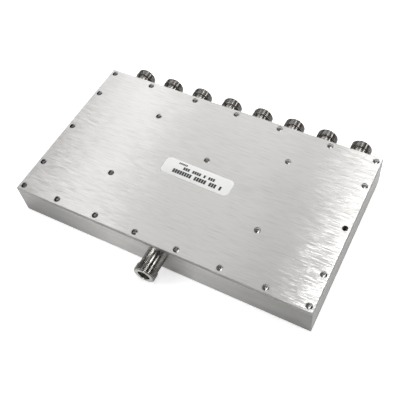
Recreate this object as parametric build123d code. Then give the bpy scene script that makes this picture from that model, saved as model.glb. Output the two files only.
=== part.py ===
from build123d import *
import os

# Eight-way coaxial power splitter. Millimetres. The origin is the centre of the case's underside,
# X runs along the case, Y points from the input side to the output side, and Z is up.

# Case
case_length = 228.6
case_width = 129.8
case_height = 27.6
wall = 8.0
cover_thickness = 3.0
edge_break = 0.3
cavity_corner_radius = 5.0

# Jacks: lengths count from the outer face of the wall, outwards
jack_count = 8
jack_end_margin = 19.905
shank_radius = 6.35
neck_radius = 7.1
neck_length = 8.4
neck_chamfer = 0.4
relief_radius = 6.4
relief_length = 1.6
thread_radius = 7.9375
thread_back_chamfer = 0.4
tip_chamfer = 0.8
jack_reach = 16.2
socket_radius = 4.55
socket_depth = 10.2
mouth_chamfer = 0.35
insulator_radius = 5.0
contact_radius = 1.52
contact_recess = 5.3
contact_hole_radius = 0.85
contact_hole_depth = 5.0
contact_slot_width = 0.3
contact_slot_length = 4.0
tail_radius = 0.635
tail_length = 5.5

# Screws of the cover
screw_radius = 1.25
screw_length = 6.0
screw_head_radius = 2.3
screw_head_height = 1.05
screw_head_sink = 0.05
recess_width = 0.5
recess_span = 2.4
recess_depth = 0.8
edge_margin = 3.95
front_screw_pitch = 32.39
front_screw_count = 6
back_screw_offsets = [0.0, 35.9, 75.9]
side_screw_offset = 37.5
rear_inner_y = 35.39
front_inner_x = 58.36
front_inner_y = -25.35
centre_inner_y = 12.94
post_radius = 4.0
tapped_depth = 4.5

# Empty tapped hole in the right-hand wall
earth_cover_radius = 2.15
earth_hole_radius = 1.65
earth_hole_depth = 12.0

# Circuit board and the parts on it
board_thickness = 1.524
copper_thickness = 0.1
line_width = 3.2
arm_width = 1.8
arm_gap = 1.0
first_loop_y = -36.0
first_loop_length = 24.0
loop_length = 14.0
loop_lead = 6.0
sections = 3
resistor_length = 2.0
resistor_width = 1.25
resistor_height = 0.5
board_screw_radius = 1.25
board_screw_length = 6.0
board_screw_head_radius = 2.3
board_screw_head_height = 1.4
board_screw_inset = 6.0
board_tapped_depth = 6.0

# Label
label_length = 55.0
label_width = 14.0
label_corner_radius = 3.5
label_thickness = 0.15
label_x = 0.2
label_y = -2.6
label_turn = -1.2

# Clearances
screw_gap = 0.08
tap_gap = 0.02
bore_gap = 0.03
board_gap = 0.4
post_gap = 0.3

# Worked out from the sizes above
jack_pitch = (case_length - 2 * jack_end_margin) / (jack_count - 1)
rear_inner_x = 2 * jack_pitch
cover_bottom = case_height - cover_thickness
axis_height = cover_bottom / 2
deck_height = axis_height - tail_radius - copper_thickness - board_thickness
board_top = deck_height + board_thickness
copper_top = board_top + copper_thickness
thread_start = neck_length + relief_length
edge_x = case_length / 2 - edge_margin
edge_y = case_width / 2 - edge_margin
arm_spacing = arm_width + arm_gap


def block(x0, x1, y0, y1, z0, z1):
    """Box between two corners."""
    return Pos((x0 + x1) / 2, (y0 + y1) / 2, (z0 + z1) / 2) * Box(x1 - x0, y1 - y0, z1 - z0)


def rod(x, y, radius, z0, z1):
    """Upright round rod."""
    return Pos(x, y, (z0 + z1) / 2) * Cylinder(radius, z1 - z0)


def rounded_slab(length, width, radius, z0, z1):
    """Flat slab with round corners, centred on the Z axis."""
    outline = Plane.XY.offset(z0) * RectangleRounded(length, width, radius)
    return extrude(outline, z1 - z0)


def turned(outline):
    """Solid of revolution about X from (station, radius) points."""
    return revolve(make_face(Polyline(*outline, close=True)), Axis.X)


def inner_screw_places():
    """The five screws that stand away from the walls."""
    return [
        (-rear_inner_x, rear_inner_y), (rear_inner_x, rear_inner_y),
        (-front_inner_x, front_inner_y), (front_inner_x, front_inner_y),
        (0.0, centre_inner_y),
    ]


def cover_screw_places():
    """All screws of the cover: four corners, both long edges, both ends, and the inner five."""
    places = [(sx * edge_x, sy * edge_y) for sx in (-1, 1) for sy in (-1, 1)]
    first = -(front_screw_count - 1) / 2
    places += [((first + n) * front_screw_pitch, -edge_y) for n in range(front_screw_count)]
    for offset in back_screw_offsets:
        places += [(x, edge_y) for x in sorted({-offset, offset})]
    places += [(sx * edge_x, sy * side_screw_offset) for sx in (-1, 1) for sy in (-1, 1)]
    places += [(-edge_x, 0.0)]
    return places + inner_screw_places()


def board_screw_places():
    """Ten screws that hold the board down, clear of the copper lines."""
    half_x = case_length / 2 - wall - board_screw_inset
    half_y = case_width / 2 - wall - board_screw_inset
    corners = [(sx * half_x, sy * half_y) for sx in (-1, 1) for sy in (-1, 1)]
    between = [(sx * jack_pitch, sy * half_y) for sx in (-1, 1) for sy in (-1, 1)]
    ends = [(sx * half_x, front_inner_y) for sx in (-1, 1)]
    return corners + between + ends


def output_x(number):
    """Place of output jack 1 to 8 along the case, from left to right."""
    return (number - (jack_count + 1) / 2) * jack_pitch


def housing():
    """Milled tray: thick floor that the board lies on, walls, and posts up to the cover."""
    body = block(-case_length / 2, case_length / 2, -case_width / 2, case_width / 2, 0, cover_bottom)
    body = chamfer(body.edges().group_by(Axis.Z)[0], edge_break)
    body -= rounded_slab(case_length - 2 * wall, case_width - 2 * wall, cavity_corner_radius,
                         deck_height, cover_bottom + 1)
    for x, y in inner_screw_places():
        body += rod(x, y, post_radius, deck_height, cover_bottom)
    for x, y in cover_screw_places():
        body -= rod(x, y, screw_radius + tap_gap, cover_bottom - tapped_depth, cover_bottom + 1)
    for x, y in board_screw_places():
        body -= rod(x, y, board_screw_radius + tap_gap, deck_height - board_tapped_depth, deck_height + 1)
    body -= rod(edge_x, 0, earth_hole_radius, cover_bottom - earth_hole_depth, cover_bottom + 1)
    bore = Cylinder(shank_radius + bore_gap, wall + 2)
    for number in range(1, jack_count + 1):
        body -= Pos(output_x(number), case_width / 2 - wall / 2, axis_height) * Rot(90, 0, 0) * bore
    body -= Pos(0, wall / 2 - case_width / 2, axis_height) * Rot(90, 0, 0) * bore
    return body


def top_cover():
    """Flat lid with countersunk screw holes and one plain hole in the right-hand column."""
    lid = block(-case_length / 2, case_length / 2, -case_width / 2, case_width / 2,
                cover_bottom, case_height)
    lid = chamfer(lid.edges().group_by(Axis.Z)[-1], edge_break)
    cone_top = screw_head_radius + screw_gap
    cone_bottom = screw_radius + screw_gap
    cone_height = (screw_head_height / (screw_head_radius - screw_radius)) * (cone_top - cone_bottom)
    sink = Cone(cone_bottom, cone_top, cone_height)
    for x, y in cover_screw_places():
        lid -= rod(x, y, cone_bottom, cover_bottom - 1, case_height)
        lid -= Pos(x, y, case_height - screw_head_sink - cone_height / 2) * sink
        lid -= rod(x, y, cone_top, case_height - screw_head_sink, case_height + 1)
    lid -= rod(edge_x, 0, earth_cover_radius, cover_bottom - 1, case_height + 1)
    return lid


def cover_screw(x, y):
    """Countersunk screw with a cross recess, its head just below the lid's face."""
    top = case_height - screw_head_sink
    head = Pos(x, y, top - screw_head_height / 2) * Cone(screw_radius, screw_head_radius, screw_head_height)
    screw = head + rod(x, y, screw_radius, top - screw_length, top - screw_head_height)
    half = recess_span / 2
    thin = recess_width / 2
    screw -= block(x - half, x + half, y - thin, y + thin, top - recess_depth, top + 1)
    screw -= block(x - thin, x + thin, y - half, y + half, top - recess_depth, top + 1)
    return screw


def board_screw(x, y):
    """Pan-head screw with a slot, seated on the board."""
    screw = rod(x, y, board_screw_head_radius, board_top, board_top + board_screw_head_height)
    screw += rod(x, y, board_screw_radius, board_top - board_screw_length, board_top)
    slot = block(-board_screw_head_radius, board_screw_head_radius, -recess_width / 2, recess_width / 2,
                 board_screw_head_height / 2, board_screw_head_height + 1)
    return screw - Pos(x, y, board_top) * slot


def circuit_board():
    """Laminate that fills the cavity floor, with holes for posts and screws."""
    board = rounded_slab(case_length - 2 * wall - 2 * board_gap, case_width - 2 * wall - 2 * board_gap,
                         cavity_corner_radius, deck_height, board_top)
    for x, y in inner_screw_places():
        board -= rod(x, y, post_radius + post_gap, deck_height - 1, board_top + 1)
    for x, y in board_screw_places():
        board -= rod(x, y, board_screw_radius + tap_gap, deck_height - 1, board_top + 1)
    return board


def track(x0, y0, x1, y1, width):
    """Straight copper line along X or Y, square at both ends."""
    half = width / 2
    return block(min(x0, x1) - half, max(x0, x1) + half, min(y0, y1) - half, max(y0, y1) + half,
                 board_top, copper_top)


def splitter_tracks(x, y, length, reach):
    """One line in at (x, y), a loop of two thin arms, and two lines out to x ± reach."""
    far = y + length
    tracks = track(x - arm_spacing / 2, y, x + arm_spacing / 2, y, arm_width)
    for side in (-1, 1):
        arm_x = x + side * arm_spacing / 2
        tracks += track(arm_x, y, arm_x, far, arm_width)
        tracks += track(arm_x, far, x + side * reach, far, line_width)
    return tracks


def stages():
    """The seven splitters as (x, y, length, reach): one, then two, then four."""
    second_y = first_loop_y + first_loop_length + loop_lead
    third_y = second_y + loop_length + loop_lead
    reaches = [jack_pitch * jack_count / 4, jack_pitch * jack_count / 8, jack_pitch * jack_count / 16]
    found = [(0.0, first_loop_y, first_loop_length, reaches[0])]
    found += [(side * reaches[0], second_y, loop_length, reaches[1]) for side in (-1, 1)]
    for side in (-1, 1):
        for inner in (-1, 1):
            found.append((side * reaches[0] + inner * reaches[1], third_y, loop_length, reaches[2]))
    return found


def copper_lines():
    """Branching copper: input line, three levels of splitters, and eight output lines."""
    edge = case_width / 2 - wall - board_gap - line_width / 2
    third_far = stages()[-1][1] + loop_length
    lines = track(0, -edge, 0, first_loop_y, line_width)
    for x, y, length, reach in stages():
        lines += splitter_tracks(x, y, length, reach)
        if length == loop_length:
            lines += track(x, y - loop_lead, x, y, line_width)
    for number in range(1, jack_count + 1):
        lines += track(output_x(number), third_far, output_x(number), edge, line_width)
    return lines


def resistors():
    """Chip resistors that bridge the two arms of each splitter."""
    chips = []
    for x, y, length, reach in stages():
        for n in range(1, sections + 1):
            chip_y = y + (length - line_width) * n / sections
            chips.append(block(x - resistor_length / 2, x + resistor_length / 2,
                               chip_y - resistor_width / 2, chip_y + resistor_width / 2,
                               copper_top, copper_top + resistor_height))
    return chips


def jack_shell():
    """Turned body: shank in the wall, neck, thread relief, thread, and the socket."""
    tip = jack_reach
    return turned([
        (-wall, insulator_radius + bore_gap), (-wall, shank_radius),
        (0, shank_radius), (0, neck_radius),
        (neck_length - neck_chamfer, neck_radius), (neck_length, neck_radius - neck_chamfer),
        (neck_length, relief_radius), (thread_start, relief_radius),
        (thread_start + thread_back_chamfer, thread_radius),
        (tip - tip_chamfer, thread_radius), (tip, thread_radius - tip_chamfer),
        (tip, socket_radius + mouth_chamfer), (tip - mouth_chamfer, socket_radius),
        (tip - socket_depth, socket_radius), (tip - socket_depth, insulator_radius + bore_gap),
    ])


def jack_insulator():
    """Plastic bead that fills the shell behind the socket."""
    front = jack_reach - socket_depth
    hole = contact_radius + bore_gap
    return turned([(-wall, hole), (-wall, insulator_radius), (front, insulator_radius), (front, hole)])


def jack_contact():
    """Slotted female contact with a thin tail that lies on the copper line."""
    front = jack_reach - contact_recess
    contact = turned([
        (-wall - tail_length, 0), (-wall - tail_length, tail_radius), (-wall, tail_radius),
        (-wall, contact_radius), (front, contact_radius), (front, contact_hole_radius),
        (front - contact_hole_depth, contact_hole_radius), (front - contact_hole_depth, 0),
    ])
    start = front - contact_slot_length
    thin = contact_slot_width / 2
    wide = contact_radius + 1
    contact -= block(start, front + 1, -wide, wide, -thin, thin)
    contact -= block(start, front + 1, -thin, thin, -wide, wide)
    return contact


def label():
    """Adhesive label with round corners, stuck on slightly turned."""
    slab = rounded_slab(label_length, label_width, label_corner_radius, 0, label_thickness)
    return Pos(label_x, label_y, case_height) * Rot(0, 0, label_turn) * slab


def write(name, shape):
    """Save one node, a single piece or a list of like pieces."""
    if isinstance(shape, list):
        shape = Compound(children=shape)
    export_step(shape, f"parts/{name}.step")


def main():
    os.makedirs("parts", exist_ok=True)
    write("housing", housing())
    write("top_cover", top_cover())
    write("cover_screws", [cover_screw(x, y) for x, y in cover_screw_places()])
    write("circuit_board", circuit_board())
    write("board_screws", [board_screw(x, y) for x, y in board_screw_places()])
    write("copper_lines", copper_lines())
    write("isolation_resistors", resistors())
    write("label", label())
    places = {"input": Pos(0, -case_width / 2, axis_height) * Rot(0, 0, -90)}
    for number in range(1, jack_count + 1):
        places[f"output_{number}"] = Pos(output_x(number), case_width / 2, axis_height) * Rot(0, 0, 90)
    for name, place in places.items():
        write(f"{name}_shell", place * jack_shell())
        write(f"{name}_insulator", place * jack_insulator())
        write(f"{name}_contact", place * jack_contact())


main()
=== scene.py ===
import bpy
import math
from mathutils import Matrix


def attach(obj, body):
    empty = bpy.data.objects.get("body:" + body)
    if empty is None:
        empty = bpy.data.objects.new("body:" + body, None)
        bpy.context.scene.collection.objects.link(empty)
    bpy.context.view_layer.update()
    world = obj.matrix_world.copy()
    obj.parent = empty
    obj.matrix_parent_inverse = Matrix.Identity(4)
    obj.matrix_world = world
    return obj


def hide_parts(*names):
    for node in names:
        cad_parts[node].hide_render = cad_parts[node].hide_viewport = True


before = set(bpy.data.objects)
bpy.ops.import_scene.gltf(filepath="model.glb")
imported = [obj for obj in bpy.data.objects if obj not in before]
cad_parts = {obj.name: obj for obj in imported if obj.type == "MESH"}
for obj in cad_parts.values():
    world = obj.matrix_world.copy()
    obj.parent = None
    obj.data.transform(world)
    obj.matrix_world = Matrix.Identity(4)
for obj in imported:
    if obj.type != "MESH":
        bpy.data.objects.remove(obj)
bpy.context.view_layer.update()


# Housing. A shallow tray milled from one block of aluminium: thick floor, four walls, and posts
# for the inner screws. Left as it comes off the machine, satin, with the cutter's fine marks along
# each side. Its colour also carries painted light along its length: brightest a third of the way
# from the left end, with painted shade towards both ends.

# Nearly all of a noise pattern lies between these two values.
noise_low, noise_high = 0.3, 0.7
# The numbers of a Mix node's colour sockets: its two colours, and its result.
first_colour, second_colour, mixed_colour = 6, 7, 2


def start_material(name, colour, metallic, roughness):
    """A material with its shader's even values set, ready for its pattern."""
    material = bpy.data.materials.new(name)
    material.use_nodes = True
    shader = material.node_tree.nodes["Principled BSDF"]
    shader.inputs["Base Color"].default_value = (*colour, 1)
    shader.inputs["Metallic"].default_value = metallic
    shader.inputs["Roughness"].default_value = roughness
    return material, material.node_tree, shader


def grain(tree, cells, detail=3.0):
    """Noise on the piece's own coordinates, with this many cells to the metre along X, Y and Z."""
    place = tree.nodes.new("ShaderNodeTexCoord")
    mapping = tree.nodes.new("ShaderNodeMapping")
    mapping.inputs["Scale"].default_value = cells
    noise = tree.nodes.new("ShaderNodeTexNoise")
    noise.inputs["Scale"].default_value = 1.0
    noise.inputs["Detail"].default_value = detail
    noise.inputs["Roughness"].default_value = 0.6
    tree.links.new(place.outputs["Object"], mapping.inputs["Vector"])
    tree.links.new(mapping.outputs["Vector"], noise.inputs["Vector"])
    return noise.outputs["Fac"]


def spread(tree, value, low, high, start=noise_low, end=noise_high):
    """A value that runs from start to end, moved into the range from low to high."""
    ranged = tree.nodes.new("ShaderNodeMapRange")
    for name, number in (("From Min", start), ("From Max", end), ("To Min", low), ("To Max", high)):
        ranged.inputs[name].default_value = number
    tree.links.new(value, ranged.inputs["Value"])
    return ranged.outputs["Result"]


def tint(tree, value, dark, light):
    """A pattern's value turned into a colour between two shades."""
    ramp = tree.nodes.new("ShaderNodeValToRGB")
    ramp.color_ramp.elements[0].position = noise_low
    ramp.color_ramp.elements[1].position = noise_high
    ramp.color_ramp.elements[0].color = (*dark, 1)
    ramp.color_ramp.elements[1].color = (*light, 1)
    tree.links.new(value, ramp.inputs["Fac"])
    return ramp.outputs["Color"]


def sum_of(tree, first, second, share):
    """Two patterns in one, the second at its share of the first."""
    both = tree.nodes.new("ShaderNodeMath")
    both.operation = "MULTIPLY_ADD"
    both.inputs[1].default_value = share
    tree.links.new(second, both.inputs[0])
    tree.links.new(first, both.inputs[2])
    return both.outputs["Value"]


def colour_by(tree, shader, pattern, dark, light):
    """The shader's colour follows a pattern between two shades."""
    tree.links.new(tint(tree, pattern, dark, light), shader.inputs["Base Color"])


def gloss_by(tree, shader, pattern, low, high):
    """The shader's roughness follows a pattern between two values."""
    tree.links.new(spread(tree, pattern, low, high), shader.inputs["Roughness"])


def raise_marks(tree, shader, height, depth):
    """Bump from a pattern, with its depth in metres."""
    bump = tree.nodes.new("ShaderNodeBump")
    bump.inputs["Strength"].default_value = 1.0
    bump.inputs["Distance"].default_value = depth
    tree.links.new(height, bump.inputs["Height"])
    tree.links.new(bump.outputs["Normal"], shader.inputs["Normal"])


def dress(piece, *materials):
    """The piece takes these materials, in this order, in place of any that it has."""
    piece.data.materials.clear()
    for material in materials:
        piece.data.materials.append(material)


milled, tree, shader = start_material("milled_aluminium", (0.58, 0.57, 0.555),
                                      metallic=1.0, roughness=0.42)
cutter_lines = grain(tree, (14, 14, 2600), detail=4.0)
underside_lines = grain(tree, (14, 1700, 14))
blotches = grain(tree, (10, 10, 55))

# Painted light and shade: a tone ramp along X multiplies the colour, brightest a third of the way
# from the left end and darker towards both ends.
half_length = 0.1143
left_end_painted_shade, right_end_painted_shade = 0.50, 0.46
place = tree.nodes.new("ShaderNodeTexCoord")
along = tree.nodes.new("ShaderNodeSeparateXYZ")
tree.links.new(place.outputs["Object"], along.inputs["Vector"])
painted_light_ramp = tree.nodes.new("ShaderNodeValToRGB")
ramp = painted_light_ramp.color_ramp
ramp.elements[0].color = (left_end_painted_shade, left_end_painted_shade, left_end_painted_shade, 1)
ramp.elements[1].color = (right_end_painted_shade, right_end_painted_shade, right_end_painted_shade, 1)
for position, tone in ((0.14, 0.54), (0.34, 1.0), (0.68, 0.78)):
    ramp.elements.new(position).color = (tone, tone, tone, 1)
tree.links.new(spread(tree, along.outputs["X"], 0.0, 1.0, start=-half_length, end=half_length),
               painted_light_ramp.inputs["Fac"])
# The colour is the blotches' random tone times the painted light along the length.
blotches_and_painted_light = tree.nodes.new("ShaderNodeMix")
blotches_and_painted_light.data_type = "RGBA"
blotches_and_painted_light.blend_type = "MULTIPLY"
blotches_and_painted_light.inputs["Factor"].default_value = 1.0
tree.links.new(tint(tree, blotches, (0.66, 0.65, 0.63), (0.86, 0.85, 0.83)),
               blotches_and_painted_light.inputs[first_colour])
tree.links.new(painted_light_ramp.outputs["Color"], blotches_and_painted_light.inputs[second_colour])
tree.links.new(blotches_and_painted_light.outputs[mixed_colour], shader.inputs["Base Color"])
uneven_gloss = spread(tree, sum_of(tree, cutter_lines, blotches, 0.8), 0.20, 0.28,
                      start=0.6, end=1.2)
tree.links.new(uneven_gloss, shader.inputs["Roughness"])
raise_marks(tree, shader, sum_of(tree, cutter_lines, underside_lines, 1.0), depth=0.000012)
dress(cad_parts["housing"], milled)


# Circuit board. A pale glass-filled laminate that carries the branching copper lines and the small
# black chip resistors, held to the housing's floor by ten slotted screws. The lid hides all of it.
laminate, tree, shader = start_material("laminate", (0.72, 0.69, 0.58),
                                        metallic=0.0, roughness=0.55)
weave = grain(tree, (900, 900, 900), detail=2.0)
colour_by(tree, shader, weave, (0.66, 0.63, 0.52), (0.78, 0.75, 0.64))
raise_marks(tree, shader, weave, depth=0.00001)
dress(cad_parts["circuit_board"], laminate)

copper, tree, shader = start_material("bare_copper", (0.82, 0.50, 0.35),
                                      metallic=1.0, roughness=0.30)
colour_by(tree, shader, grain(tree, (120, 120, 120)), (0.74, 0.42, 0.28), (0.88, 0.56, 0.40))
gloss_by(tree, shader, grain(tree, (60, 2400, 60)), 0.24, 0.40)
dress(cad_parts["copper_lines"], copper)

ceramic, tree, shader = start_material("black_chip", (0.03, 0.03, 0.035),
                                       metallic=0.0, roughness=0.45)
speckle = grain(tree, (3000, 3000, 3000), detail=1.0)
colour_by(tree, shader, speckle, (0.02, 0.02, 0.024), (0.05, 0.05, 0.055))
raise_marks(tree, shader, speckle, depth=0.00001)
dress(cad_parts["isolation_resistors"], ceramic)

zinc_steel, tree, shader = start_material("plated_screw_steel", (0.60, 0.60, 0.60),
                                          metallic=1.0, roughness=0.32)
turning = grain(tree, (900, 900, 900))
colour_by(tree, shader, turning, (0.52, 0.52, 0.53), (0.68, 0.68, 0.67))
gloss_by(tree, shader, turning, 0.24, 0.40)
dress(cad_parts["board_screws"], zinc_steel)


# Jacks. Nine threaded coaxial sockets, one at the near wall and eight along the far wall, each
# pressed through its wall. The body is turned from brass and nickel plated: plain neck, a bead
# between two grooves, a 24-to-the-inch thread, and a bevelled nose around the socket.
axis_height = 0.0123
wall_face = 0.0649
wall_thickness = 0.0080
jack_pitch = 0.02697
jack_reach = 0.0162
shank_radius = 0.00635
neck_radius = 0.0071
neck_end, neck_bevel = 0.0084, 0.0001
groove_radius = 0.0064
thread_radius = 0.0079375
nose_bevel = 0.0008
socket_radius = 0.00455
socket_floor = 0.0060
mouth_bevel = 0.00035
bead_hole_radius = 0.00503

# Stations of the body as (height, radius): out from the shank to the nose, and back through the
# socket. The heights of the grooves, the bead and the thread's first turn are read from the photo.
body_profile = [
    (-wall_thickness, shank_radius), (0.0, shank_radius),
    (0.0, neck_radius), (neck_end - neck_bevel, neck_radius),
    (neck_end, neck_radius - neck_bevel), (neck_end, groove_radius),
    (0.0088, groove_radius), (0.0089, neck_radius),
    (0.0094, neck_radius), (0.0095, groove_radius),
    (0.0100, groove_radius), (0.0104, thread_radius),
    (jack_reach - nose_bevel, thread_radius), (jack_reach, thread_radius - nose_bevel),
    (jack_reach, socket_radius + mouth_bevel), (jack_reach - mouth_bevel, socket_radius),
    (socket_floor, socket_radius), (socket_floor, bead_hole_radius),
    (-wall_thickness, bead_hole_radius), (-wall_thickness, shank_radius),
]


def lathe(name, profile, sides, fill="NOTHING"):
    """A ring, or a filled disc, drawn on along Z from station to station, as (height, radius)."""
    height, radius = profile[0]
    bpy.ops.object.select_all(action="DESELECT")
    bpy.ops.mesh.primitive_circle_add(vertices=sides, radius=radius, fill_type=fill,
                                      location=(0, 0, height))
    piece = bpy.context.object
    piece.name = piece.data.name = name
    bpy.ops.object.transform_apply(location=True, rotation=True, scale=True)
    bpy.ops.object.mode_set(mode="EDIT")
    bpy.ops.mesh.select_all(action="SELECT")
    for next_height, next_radius in profile[1:]:
        step = (0, 0, next_height - height)
        bpy.ops.mesh.extrude_region_move(TRANSFORM_OT_translate={"value": step})
        growth = next_radius / radius
        bpy.ops.transform.resize(value=(growth, growth, 1), center_override=(0, 0, next_height))
        height, radius = next_height, next_radius
    bpy.ops.mesh.select_all(action="SELECT")
    bpy.ops.mesh.remove_doubles(threshold=0.000001)
    bpy.ops.mesh.normals_make_consistent(inside=False)
    bpy.ops.object.mode_set(mode="OBJECT")
    return piece


def finish_with(piece, kind, **values):
    """Adds one modifier and applies it."""
    bpy.context.view_layer.objects.active = piece
    modifier = piece.modifiers.new(kind.lower(), kind)
    for name, value in values.items():
        setattr(modifier, name, value)
    bpy.ops.object.modifier_apply(modifier=modifier.name)


def smooth(piece, degrees):
    """Smooth shading, kept sharp where faces meet at more than this angle."""
    bpy.ops.object.select_all(action="DESELECT")
    piece.select_set(True)
    bpy.context.view_layer.objects.active = piece
    bpy.ops.object.shade_smooth_by_angle(angle=math.radians(degrees))


def put(piece, name, place, turn):
    """A copy with its own mesh, turned and placed, with its place then kept in the mesh."""
    bpy.ops.object.select_all(action="DESELECT")
    piece.select_set(True)
    bpy.context.view_layer.objects.active = piece
    bpy.ops.object.duplicate()
    copy = bpy.context.object
    copy.name = copy.data.name = name
    copy.rotation_euler = turn
    copy.location = place
    bpy.ops.object.transform_apply(location=True, rotation=True, scale=True)
    return copy


round_sides = 72
jack_body = lathe("jack_pattern", body_profile, round_sides)
finish_with(jack_body, "BEVEL", width=0.00009, segments=2, limit_method="ANGLE",
            angle_limit=math.radians(28))

# The thread is cut by a three-sided tool swept seven turns along the helix.
thread_pitch = 0.0254 / 24
thread_depth = 0.00064
thread_start = 0.0101
tooth_radius = 0.0006
bpy.ops.object.select_all(action="DESELECT")
bpy.ops.mesh.primitive_circle_add(
    vertices=3, radius=tooth_radius, rotation=(math.pi / 2, -math.pi / 2, 0),
    location=(thread_radius - thread_depth + tooth_radius, 0, thread_start))
thread_tool = bpy.context.object
bpy.ops.object.transform_apply(location=True, rotation=True, scale=True)
finish_with(thread_tool, "SCREW", axis="Z", angle=math.tau, screw_offset=thread_pitch, iterations=7,
            steps=round_sides, render_steps=round_sides, use_smooth_shade=False)
bpy.ops.object.mode_set(mode="EDIT")
bpy.ops.mesh.select_all(action="SELECT")
bpy.ops.mesh.remove_doubles(threshold=0.0000005)
bpy.ops.mesh.fill_holes(sides=4)
bpy.ops.mesh.normals_make_consistent(inside=False)
bpy.ops.object.mode_set(mode="OBJECT")
finish_with(jack_body, "BOOLEAN", operation="DIFFERENCE", object=thread_tool, solver="EXACT")
bpy.data.objects.remove(thread_tool)
smooth(jack_body, 12)

nickel, tree, shader = start_material("nickel_plate", (0.36, 0.35, 0.335),
                                      metallic=1.0, roughness=0.22)
shader.inputs["Anisotropic"].default_value = 1.0
shader.inputs["Specular Tint"].default_value = (0.35, 0.34, 0.33, 1)
along_axis = tree.nodes.new("ShaderNodeCombineXYZ")
for axis, share in (("X", 0.03), ("Y", 1.0), ("Z", 0.02)):
    along_axis.inputs[axis].default_value = share
tree.links.new(along_axis.outputs["Vector"], shader.inputs["Tangent"])
handling = grain(tree, (260, 260, 260))
colour_by(tree, shader, handling, (0.32, 0.31, 0.295), (0.40, 0.39, 0.375))
gloss_by(tree, shader, handling, 0.19, 0.26)
raise_marks(tree, shader, grain(tree, (8, 3200, 8)), depth=0.000004)

rubbed_nickel, tree, shader = start_material("rubbed_nickel", (0.64, 0.63, 0.60),
                                             metallic=1.0, roughness=0.24)
contact_wear = grain(tree, (900, 900, 900))
colour_by(tree, shader, contact_wear, (0.54, 0.53, 0.505), (0.74, 0.73, 0.70))
gloss_by(tree, shader, contact_wear, 0.18, 0.30)

bead, tree, shader = start_material("white_bead", (0.86, 0.86, 0.84), metallic=0.0, roughness=0.35)
waxy = grain(tree, (700, 700, 700), detail=2.0)
colour_by(tree, shader, waxy, (0.82, 0.82, 0.79), (0.90, 0.90, 0.88))
gloss_by(tree, shader, waxy, 0.30, 0.42)

gold, tree, shader = start_material("gold_plate", (0.82, 0.72, 0.52), metallic=1.0, roughness=0.20)
drawn = grain(tree, (900, 60, 900), detail=2.0)
colour_by(tree, shader, drawn, (0.76, 0.66, 0.46), (0.88, 0.79, 0.60))
gloss_by(tree, shader, drawn, 0.15, 0.28)

# A mating plug rubs the flat of the nose bright. Each body is turned by another angle about its
# axis before it is laid down, so the threads start in different places.
rubbed_above = 0.0160
dress(jack_body, nickel, rubbed_nickel)
for face in jack_body.data.polygons:
    face.material_index = int(face.center.z > rubbed_above and face.normal.z > 0.3)
turn_per_jack = math.radians(47)
jack_places = [("input", 0.0, -wall_face, 1)]
jack_places += [(f"output_{n}", (n - 4.5) * jack_pitch, wall_face, -1) for n in range(1, 9)]
for number, (jack, x, y, side) in enumerate(jack_places):
    body = put(jack_body, f"{jack}_body", (0, 0, 0), (0, 0, turn_per_jack * number))
    body.rotation_euler = (side * math.pi / 2, 0, 0)
    body.location = (x, y, axis_height)
    bpy.ops.object.transform_apply(location=True, rotation=True, scale=True)
    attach(body, "root")
    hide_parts(f"{jack}_shell")
    dress(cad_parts[f"{jack}_insulator"], bead)
    dress(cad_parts[f"{jack}_contact"], gold)
bpy.data.objects.remove(jack_body)


# Lid. A 3 mm aluminium plate, brushed along its length, that closes the tray. Its sides are milled
# flush with the housing's, and its edge is broken all round. The cover screws hold it down.
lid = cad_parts["top_cover"]
brushed, tree, shader = start_material("brushed_aluminium", (0.66, 0.65, 0.635),
                                       metallic=0.55, roughness=0.22)
shader.inputs["Anisotropic"].default_value = 1.0
across_brush = tree.nodes.new("ShaderNodeCombineXYZ")
across_brush.inputs["Y"].default_value = 1.0
tree.links.new(across_brush.outputs["Vector"], shader.inputs["Tangent"])
scratches = grain(tree, (70, 1400, 70), detail=2.0)
smears = grain(tree, (7, 30, 7), detail=2.0)
colour_by(tree, shader, sum_of(tree, scratches, smears, 0.3),
          (0.58, 0.57, 0.555), (0.74, 0.73, 0.715))
gloss_by(tree, shader, scratches, 0.27, 0.215)

# The brush marks tilt the surface a little to the left and right, so that they catch the lamps.
greatest_lean = 0.040
flat = tree.nodes.new("ShaderNodeNewGeometry")
lean = tree.nodes.new("ShaderNodeCombineXYZ")
brush_marks = grain(tree, (100, 2400, 100), detail=2.0)
tree.links.new(spread(tree, brush_marks, -greatest_lean, greatest_lean), lean.inputs["X"])
leaning = tree.nodes.new("ShaderNodeVectorMath")
leaning.operation = "ADD"
tree.links.new(flat.outputs["Normal"], leaning.inputs[0])
tree.links.new(lean.outputs["Vector"], leaning.inputs[1])
unit_length = tree.nodes.new("ShaderNodeVectorMath")
unit_length.operation = "NORMALIZE"
tree.links.new(leaning.outputs["Vector"], unit_length.inputs[0])
tree.links.new(unit_length.outputs["Vector"], shader.inputs["Normal"])

# The lid's sides take a darker aluminium than the housing's walls, a darker band along the top of
# each wall.
darker_lid_sides, tree, shader = start_material("lid_edge_aluminium", (0.42, 0.41, 0.40),
                                    metallic=1.0, roughness=0.44)
colour_by(tree, shader, grain(tree, (60, 60, 240)), (0.36, 0.35, 0.34), (0.48, 0.47, 0.46))
gloss_by(tree, shader, grain(tree, (30, 30, 2200)), 0.38, 0.50)
dress(lid, brushed, darker_lid_sides)
for face in lid.data.polygons:
    face.material_index = 0 if face.normal.z > 0.9 else 1


# Cover screws. Twenty-five M2.5 countersunk screws of dark steel with slightly domed heads, their
# cross recesses in lighter steel: rubbed by the driver, and a painted highlight. Each is driven in,
# so no two recesses point the same way. The profile's heights are measured down from the top of
# the head.
lid_face = 0.0276
head_top = lid_face - 0.00002
screw_profile = [
    (-0.0060, 0.0010), (-0.0057, 0.00125), (-0.0013, 0.00125), (-0.00042, 0.00222),
    (-0.00034, 0.00224), (-0.00026, 0.00216), (-0.00014, 0.0017), (-0.00005, 0.0012),
    (0.0, 0.0007),
]
screw = lathe("screw_pattern", screw_profile, 40, fill="NGON")

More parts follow.
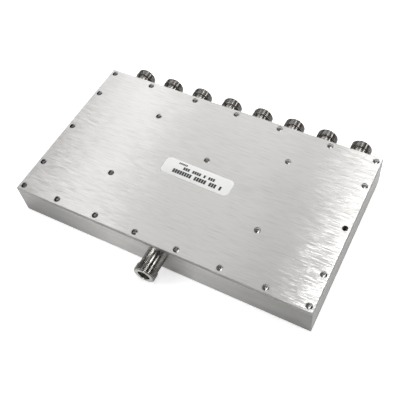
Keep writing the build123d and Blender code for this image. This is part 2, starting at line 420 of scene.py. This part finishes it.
# The recess is two crossed slots that narrow downwards, and a cone where they meet.
slot_length, slot_width, recess_height = 0.0025, 0.00052, 0.0014
recess_middle = -0.0001
slot_floor = -0.0008
bpy.ops.object.select_all(action="DESELECT")
bpy.ops.mesh.primitive_cube_add(size=1, location=(0, 0, recess_middle),
                                scale=(slot_length, slot_width, recess_height))
recess = bpy.context.object
bpy.ops.object.transform_apply(location=True, rotation=True, scale=True)
bpy.ops.object.mode_set(mode="EDIT")
bpy.ops.mesh.select_all(action="DESELECT")
bpy.ops.object.mode_set(mode="OBJECT")
for face in recess.data.polygons:
    face.select = face.normal.z < -0.9
bpy.ops.object.mode_set(mode="EDIT")
bpy.ops.transform.resize(value=(0.42, 0.8, 1), center_override=(0, 0, slot_floor))
bpy.ops.mesh.select_all(action="SELECT")
bpy.ops.mesh.duplicate()
bpy.ops.transform.rotate(value=math.pi / 2, orient_axis="Z", center_override=(0, 0, 0))
bpy.ops.mesh.primitive_cone_add(vertices=16, radius1=0.0002, radius2=0.00075, depth=recess_height,
                                location=(0, 0, recess_middle))
bpy.ops.object.mode_set(mode="OBJECT")
finish_with(screw, "BOOLEAN", operation="DIFFERENCE", object=recess, solver="EXACT", use_self=True)
bpy.data.objects.remove(recess)
smooth(screw, 30)

dark_steel, tree, shader = start_material("dark_screw_steel", (0.20, 0.20, 0.195),
                                          metallic=1.0, roughness=0.16)
wear = grain(tree, (800, 800, 800), detail=4.0)
colour_by(tree, shader, wear, (0.14, 0.14, 0.137), (0.26, 0.257, 0.25))
gloss_by(tree, shader, wear, 0.12, 0.20)
raise_marks(tree, shader, wear, depth=0.00001)

# The cross recesses are painted lighter than the head: wear from the driver, and a painted
# highlight.
rubbed_steel_painted_highlight, tree, shader = start_material("rubbed_screw_steel_painted_highlight", (0.52, 0.51, 0.50),
                                            metallic=0.8, roughness=0.35)
rubbing_and_painted_highlight = grain(tree, (1200, 1200, 1200))
colour_by(tree, shader, rubbing_and_painted_highlight, (0.40, 0.395, 0.39), (0.64, 0.63, 0.62))
gloss_by(tree, shader, rubbing_and_painted_highlight, 0.28, 0.42)
dress(screw, dark_steel, rubbed_steel_painted_highlight)
recess_reach = 0.00122
recess_floor, recess_rim = -0.00085, -0.00006
for face in screw.data.polygons:
    reach = math.hypot(face.center.x, face.center.y)
    in_recess = reach < recess_reach and recess_floor < face.center.z < recess_rim
    face.material_index = int(in_recess)

# The screws of the four corners, the near edge, the far edge, the two ends and the middle.
end_x, edge_y = 0.11035, 0.06095
near_pitch = 0.03239
screw_places = [(side * end_x, edge * edge_y) for side in (-1, 1) for edge in (-1, 1)]
screw_places += [((n - 2.5) * near_pitch, -edge_y) for n in range(6)]
screw_places += [(x, edge_y) for x in (-0.0759, -0.0359, 0.0, 0.0359, 0.0759)]
screw_places += [(side * end_x, y) for side in (-1, 1) for y in (-0.0375, 0.0375)]
screw_places += [(-end_x, 0.0)]
screw_places += [(-0.05394, 0.03539), (0.05394, 0.03539), (-0.05836, -0.02535),
                 (0.05836, -0.02535), (0.0, 0.01294)]
turn_per_screw = math.radians(37)
for number, (x, y) in enumerate(screw_places, 1):
    driven = put(screw, f"cover_screw_{number:02d}", (x, y, head_top),
                 (0, 0, turn_per_screw * number))
    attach(driven, "root")
    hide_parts("cover_screws")
bpy.data.objects.remove(screw)


# Label. A white film sticker with round corners, put on a little askew, printed in black. The
# print is rows of plain bars in place of words.
label_length, label_width, label_corner = 0.055, 0.014, 0.0035
label_place, label_turn = (0.0002, -0.0026), math.radians(-1.2)
film_thickness = 0.00013
bpy.ops.object.select_all(action="DESELECT")
bpy.ops.mesh.primitive_plane_add(size=1, location=(0, 0, 0))
label_film = bpy.context.object
label_film.name = label_film.data.name = "label_film_sheet"
label_film.scale = (label_length, label_width, 1)
bpy.ops.object.transform_apply(location=True, rotation=True, scale=True)
bpy.ops.object.mode_set(mode="EDIT")
bpy.ops.mesh.select_all(action="SELECT")
bpy.ops.mesh.bevel(offset=label_corner, segments=10, affect="VERTICES")
bpy.ops.object.mode_set(mode="OBJECT")
finish_with(label_film, "SOLIDIFY", thickness=film_thickness, offset=1)
finish_with(label_film, "BEVEL", width=0.00004, segments=2, limit_method="ANGLE",
            angle_limit=math.radians(60))
label_film.rotation_euler = (0, 0, label_turn)
label_film.location = (*label_place, lid_face)
bpy.ops.object.transform_apply(location=True, rotation=True, scale=True)
smooth(label_film, 30)

paper, tree, shader = start_material("white_label_film", (0.82, 0.82, 0.81),
                                     metallic=0.0, roughness=0.38)
fibre = grain(tree, (1500, 1500, 1500))
colour_by(tree, shader, fibre, (0.80, 0.80, 0.785), (0.84, 0.84, 0.83))
raise_marks(tree, shader, fibre, depth=0.000006)
dress(label_film, paper)
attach(label_film, "root")
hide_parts("label")

# Each row of print: its middle across the label, its bars' height and width, the gap between bars,
# the number of bars in each group, and how far the row is moved to the right. A space between
# groups is 1.4 bars wide.
print_rows = [
    (-0.0026, 0.0034, 0.00165, 0.00028, (1, 3, 5, 8), 0.0010),
    (0.0017, 0.0025, 0.00150, 0.00028, (3, 1, 4, 3), 0.0006),
    (0.0047, 0.0014, 0.00095, 0.00022, (6,), -0.0139),
]
bars_per_space = 1.4
ink_thickness = 0.00001
ink_lift = 0.000003
bars = []
for middle, height, width, gap, groups, shift in print_rows:
    space = bars_per_space * width
    run = sum(groups) * (width + gap) + (len(groups) - 1) * space
    x = run / 2 + shift
    for group in groups:
        for n in range(group):
            bpy.ops.object.select_all(action="DESELECT")
            bpy.ops.mesh.primitive_plane_add(size=1, location=(x - width / 2, middle, 0))
            bar = bpy.context.object
            bar.scale = (width, height, 1)
            bars.append(bar)
            x -= width + gap
        x -= space
for bar in bars:
    bar.select_set(True)
bpy.context.view_layer.objects.active = bars[0]
bpy.ops.object.join()
marks = bpy.context.object
marks.name = marks.data.name = "label_bars"
bpy.ops.object.transform_apply(location=True, rotation=True, scale=True)
finish_with(marks, "SOLIDIFY", thickness=ink_thickness, offset=1)
marks.rotation_euler = (0, 0, label_turn)
marks.location = (*label_place, lid_face + film_thickness + ink_lift)
bpy.ops.object.transform_apply(location=True, rotation=True, scale=True)

ink, tree, shader = start_material("black_ink", (0.02, 0.02, 0.02), metallic=0.0, roughness=0.5)
patchy = grain(tree, (2400, 2400, 2400), detail=2.0)
colour_by(tree, shader, patchy, (0.012, 0.012, 0.012), (0.05, 0.05, 0.05))
dress(marks, ink)
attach(marks, "root")


# Studio. A pale floor under the case, an upright lamp at the left front, a small one low in front,
# two bright tubes overhead that run to the back and give the jacks their streaks, three weaker
# lamps that the lid mirrors as its light band and its grey middle, and a wide lamp behind.
bpy.ops.object.select_all(action="DESELECT")
floor_width, floor_height = 24, -0.0002
bpy.ops.mesh.primitive_plane_add(size=floor_width, location=(0, 0, floor_height))
floor = bpy.context.object
floor.name = floor.data.name = "studio_floor"
pale, tree, shader = start_material("pale_floor", (0.86, 0.86, 0.86), metallic=0.0, roughness=0.9)
shader.inputs["Specular IOR Level"].default_value = 0.0
shader.inputs["Emission Color"].default_value = (1, 1, 1, 1)
colour_by(tree, shader, grain(tree, (3, 3, 3)), (0.85, 0.85, 0.85), (0.87, 0.87, 0.87))

# The camera sees the floor as white, more so further out, and polished metal mirrors a little of
# that. Neither lights the object.
mirrored_glow = 0.09
light_path = tree.nodes.new("ShaderNodeLightPath")
reflected = tree.nodes.new("ShaderNodeMath")
reflected.operation = "MAXIMUM"
tree.links.new(light_path.outputs["Is Glossy Ray"], reflected.inputs[0])
tree.links.new(light_path.outputs["Is Transmission Ray"], reflected.inputs[1])
place = tree.nodes.new("ShaderNodeTexCoord")
distance = tree.nodes.new("ShaderNodeVectorMath")
distance.operation = "LENGTH"
tree.links.new(place.outputs["Object"], distance.inputs[0])
seen = tree.nodes.new("ShaderNodeMath")
seen.operation = "MULTIPLY"
tree.links.new(light_path.outputs["Is Camera Ray"], seen.inputs[0])
tree.links.new(spread(tree, distance.outputs["Value"], 0.6, 1.0, start=0.4, end=1.4),
               seen.inputs[1])
tree.links.new(sum_of(tree, seen.outputs["Value"], reflected.outputs["Value"], mirrored_glow),
               shader.inputs["Emission Strength"])
dress(floor, pale)

# The room is white to the camera. For everything else it is grey at the horizon and dark overhead.
world = bpy.data.worlds.new("studio_room")
bpy.context.scene.world = world
world.use_nodes = True
tree = world.node_tree
room = tree.nodes["Background"]
direction = tree.nodes.new("ShaderNodeTexCoord")
parts = tree.nodes.new("ShaderNodeSeparateXYZ")
tree.links.new(direction.outputs["Generated"], parts.inputs["Vector"])
backdrop = tree.nodes.new("ShaderNodeMix")
backdrop.data_type = "RGBA"
backdrop.inputs[second_colour].default_value = (1, 1, 1, 1)
light_path = tree.nodes.new("ShaderNodeLightPath")
tree.links.new(light_path.outputs["Is Camera Ray"], backdrop.inputs["Factor"])
upwards = spread(tree, parts.outputs["Z"], 0.0, 1.0, start=0.10, end=0.35)
tree.links.new(tint(tree, upwards, (0.4, 0.4, 0.4), (0.035, 0.035, 0.035)),
               backdrop.inputs[first_colour])
tree.links.new(backdrop.outputs[mixed_colour], room.inputs["Color"])


def lamp(name, centre, size, tilt, turn, power):
    """A flat lamp, facing down until it is tilted and turned. Its power is per square metre."""
    data = bpy.data.lights.new(name, "AREA")
    data.shape = "RECTANGLE"
    data.size, data.size_y = size
    data.energy = power * size[0] * size[1]
    made = bpy.data.objects.new(name, data)
    bpy.context.scene.collection.objects.link(made)
    made.location = centre
    made.rotation_euler = (math.radians(tilt), 0, math.radians(turn))


lamp("key_lamp", (-0.74, -0.55, 0.80), (0.20, 0.80), tilt=48, turn=-56, power=33.5)
lamp("front_lamp", (-0.12, -1.40, 0.54), (0.26, 0.22), tilt=68, turn=0, power=20.0)
lamp("left_lamp", (-0.78, 0.65, 1.17), (0.20, 1.10), tilt=0, turn=0, power=4.2)
lamp("centre_lamp", (-0.41, 0.30, 1.17), (0.35, 1.60), tilt=0, turn=0, power=1.3)
lamp("middle_lamp", (0.015, 0.95, 1.17), (0.35, 0.80), tilt=0, turn=0, power=3.2)
lamp("middle_tube", (0.110, 0.45, 1.17), (0.27, 1.10), tilt=0, turn=0, power=20.0)
lamp("right_tube", (1.330, 0.60, 1.17), (0.60, 1.60), tilt=0, turn=0, power=18.0)
lamp("back_lamp", (-0.50, 2.00, 1.25), (2.60, 1.30), tilt=-90, turn=0, power=7.5)

# The camera's place, lens and shift were solved from the case's straight edges in the photo.
camera_data = bpy.data.cameras.new("camera")
camera_data.lens = 57.469
camera_data.sensor_width = 36
camera_data.shift_x, camera_data.shift_y = -0.06533, -0.04599
camera = bpy.data.objects.new("camera", camera_data)
bpy.context.scene.collection.objects.link(camera)
camera.location = (0.162517, -0.220890, 0.391531)
camera.rotation_euler = (math.radians(35.72014), math.radians(3.90099), math.radians(26.98139))
bpy.context.scene.camera = camera
bpy.context.scene.view_settings.view_transform = "Standard"
